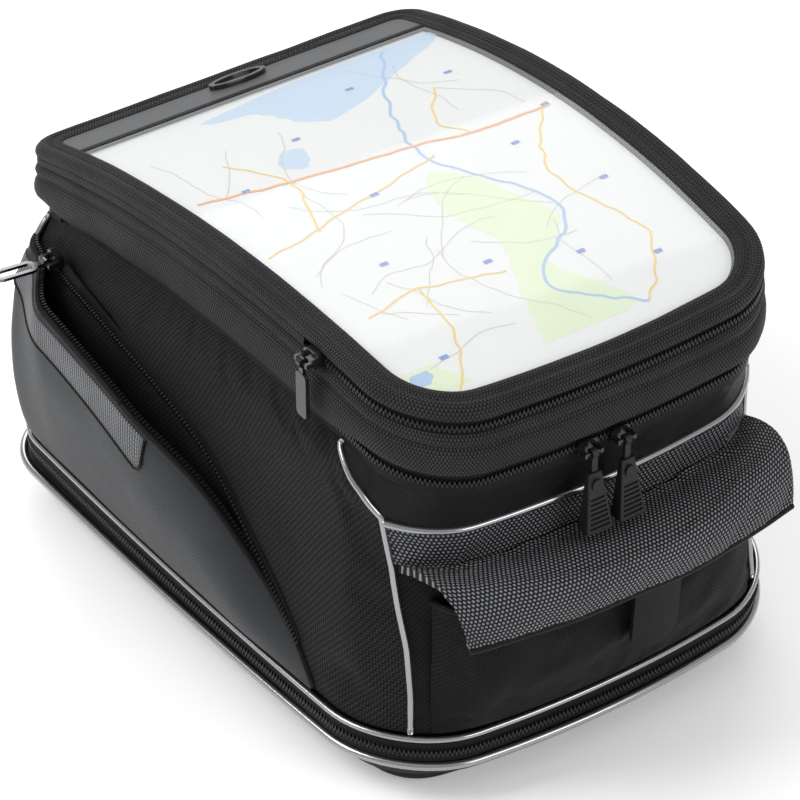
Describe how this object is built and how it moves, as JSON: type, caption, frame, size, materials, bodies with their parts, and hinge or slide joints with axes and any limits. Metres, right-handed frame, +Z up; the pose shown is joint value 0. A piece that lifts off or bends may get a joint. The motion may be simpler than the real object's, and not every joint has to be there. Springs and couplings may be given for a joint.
{
  "type": "motorcycle tank bag",
  "caption": "Soft motorcycle tank bag with a domed map lid, open side pocket, rear flap pocket, expansion zip and a tank ring socket underneath.",
  "frame": {"origin": "centre of the tank ring socket's mouth, on the plane that the bag rests on", "axes": "+Z up, +Y towards the steering head, -Y towards the rider, +X to the rider's right"},
  "size_m": [0.3017, 0.3843, 0.2364],
  "materials": {
    "pad_foam": "matt closed-cell foam with a non-slip skin",
    "stiffener": "plain sheet plastic",
    "adapter_plastic": "fine-grained moulded nylon",
    "screw_steel": "zinc-plated",
    "webbing": "woven polyester",
    "side_fabric": "black ribbed nylon",
    "panel_fabric": "black plain-weave nylon",
    "dot_mesh": "spacer mesh with pale dots on black",
    "pocket_fabric": "dark grey fine weave",
    "tape": "smooth coated tape",
    "lining": "thin coated lining",
    "silver_piping": "glossy silver-grey vinyl piping",
    "coil_zip": "black coil zip on woven tape",
    "slider_metal": "black enamelled die-casting",
    "puller_rubber": "ribbed soft vinyl",
    "window_film": "clear flexible vinyl film",
    "map_paper": "printed paper",
    "grey_strip": "grey smooth coated fabric",
    "badge": "glossy black moulding"
  },
  "bodies": {
    "base": {"base_pad": "pad_foam", "base_tray": "stiffener", "base_board": "stiffener", "ring_adapter": "adapter_plastic", "adapter_screws": "screw_steel", "adapter_nuts": "screw_steel", "lower_piping": "silver_piping", "expansion_zip_lower": "coil_zip", "expansion_gusset": "panel_fabric"},
    "latch": {"latch": "adapter_plastic", "release_strap": "webbing"},
    "bag": {"expansion_zip_upper": "coil_zip", "upper_piping": "silver_piping", "rear_panel": "dot_mesh", "rear_zip_band": "tape", "left_side_panel": "side_fabric", "right_side_panel": "side_fabric", "front_panel": "panel_fabric", "corner_piping": "silver_piping", "rim_piping": "silver_piping", "body_lining": "lining", "main_zip_lower": "coil_zip", "lid_hinge_strip": "tape", "carry_handle": "webbing", "rear_pocket_face": "panel_fabric", "rear_pocket_gusset": "panel_fabric", "pocket_zips": "coil_zip", "left_pocket_shell": "pocket_fabric", "right_pocket_shell": "pocket_fabric"},
    "lid": {"lid_border": "side_fabric", "window_front": "window_film", "front_strip": "grey_strip", "map_sheet": "map_paper", "map_pad": "panel_fabric", "map_zip_lower": "coil_zip", "lid_wall": "side_fabric", "lid_panel": "lining", "main_zip_upper": "coil_zip", "oval_badge": "badge"},
    "map_flap": {"map_flap_border": "side_fabric", "window_rear": "window_film", "map_zip_upper": "coil_zip"},
    "rear_flap": {"rear_flap": "dot_mesh", "pull_tab": "tape"},
    "left_mouth": {"left_pocket_mouth": "pocket_fabric"},
    "right_mouth": {"right_pocket_mouth": "pocket_fabric"},
    "main_slider_left": {"main_slider_left": "slider_metal"},
    "main_slider_right": {"main_slider_right": "slider_metal"},
    "main_puller_left": {"main_puller_left": "puller_rubber"},
    "main_puller_right": {"main_puller_right": "puller_rubber"},
    "map_slider": {"map_slider": "slider_metal"},
    "map_puller": {"map_puller": "puller_rubber"},
    "expansion_slider": {"expansion_slider": "slider_metal"},
    "expansion_puller": {"expansion_puller": "puller_rubber"},
    "left_pocket_slider": {"left_pocket_slider": "slider_metal"},
    "left_pocket_puller": {"left_pocket_puller": "slider_metal"},
    "right_pocket_slider": {"right_pocket_slider": "slider_metal"},
    "right_pocket_puller": {"right_pocket_puller": "slider_metal"}
  },
  "joints": [
    {"name": "expansion_lift", "type": "slide", "parent": "base", "child": "bag", "axis": [0, 0, 1], "range_m": [0, 0.055]},
    {"name": "latch_slide", "type": "slide", "parent": "base", "child": "latch", "axis": [0, 1, 0], "range_m": [0, 0.005]},
    {"name": "lid_hinge", "type": "hinge", "parent": "bag", "child": "lid", "pos_m": [0, 0.1578, 0.16238], "axis": [-1, 0, 0], "range_deg": [0, 95]},
    {"name": "map_flap_hinge", "type": "hinge", "parent": "lid", "child": "map_flap", "pos_m": [0, -0.086, 0.23587], "axis": [-1, 0, 0], "range_deg": [0, 35]},
    {"name": "rear_flap_hinge", "type": "hinge", "parent": "bag", "child": "rear_flap", "pos_m": [0, -0.163, 0.136], "axis": [-1, 0, 0], "range_deg": [0, 60]},
    {"name": "left_mouth_hinge", "type": "hinge", "parent": "bag", "child": "left_mouth", "pos_m": [-0.12963, 0.025, 0.049], "axis": [0.054, -0.9985, 0], "range_deg": [-9, 6]},
    {"name": "right_mouth_hinge", "type": "hinge", "parent": "bag", "child": "right_mouth", "pos_m": [0.12963, 0.025, 0.049], "axis": [0.054, 0.9985, 0], "range_deg": [0, 15]},
    {"name": "main_slider_left_travel", "type": "hinge", "parent": "bag", "child": "main_slider_left", "pos_m": [0, 0.59129, 0.2], "axis": [0, 0, 1], "range_deg": [-4, 0]},
    {"name": "main_puller_left_swing", "type": "hinge", "parent": "main_slider_left", "child": "main_puller_left", "pos_m": [-0.015, -0.17335, 0.18274], "axis": [-0.9998, 0.0196, 0], "range_deg": [0, 120]},
    {"name": "main_slider_right_travel", "type": "hinge", "parent": "bag", "child": "main_slider_right", "pos_m": [0, 0.59129, 0.2], "axis": [0, 0, 1], "range_deg": [0, 4]},
    {"name": "main_puller_right_swing", "type": "hinge", "parent": "main_slider_right", "child": "main_puller_right", "pos_m": [0.003, -0.17349, 0.18271], "axis": [-1, -0.0039, 0], "range_deg": [0, 120]},
    {"name": "map_slider_travel", "type": "slide", "parent": "lid", "child": "map_slider", "axis": [0.0597, -0.9954, -0.0747], "range_m": [0, 0.028]},
    {"name": "map_puller_swing", "type": "hinge", "parent": "map_slider", "child": "map_puller", "pos_m": [-0.1152, -0.093, 0.22552], "axis": [0, 1, 0], "range_deg": [0, 100]},
    {"name": "expansion_slider_travel", "type": "slide", "parent": "base", "child": "expansion_slider", "axis": [1, 0, 0], "range_m": [0, 0.05]},
    {"name": "expansion_puller_swing", "type": "hinge", "parent": "expansion_slider", "child": "expansion_puller", "pos_m": [0, 0.1748, 0.0324], "axis": [1, 0, 0], "range_deg": [0, 80]},
    {"name": "left_pocket_slider_travel", "type": "slide", "parent": "bag", "child": "left_pocket_slider", "axis": [-0.0598, -0.997, -0.0498], "range_m": [0, 0.04]},
    {"name": "left_pocket_puller_swing", "type": "hinge", "parent": "left_pocket_slider", "child": "left_pocket_puller", "pos_m": [-0.12704, 0.118, 0.157], "axis": [0, 1, 0], "range_deg": [-35, 5]},
    {"name": "right_pocket_slider_travel", "type": "slide", "parent": "bag", "child": "right_pocket_slider", "axis": [0.0549, 0.8468, 0.5291], "range_m": [0, 0.025]},
    {"name": "right_pocket_puller_swing", "type": "hinge", "parent": "right_pocket_slider", "child": "right_pocket_puller", "pos_m": [0.12797, -0.044, 0.115], "axis": [0, -0.848, -0.5299], "range_deg": [0, 50]}
  ],
  "couplings": [
    {"joint": "main_puller_left_swing", "follows": "rear_flap_hinge", "ratio": 2},
    {"joint": "main_puller_right_swing", "follows": "rear_flap_hinge", "ratio": 2}
  ]
}
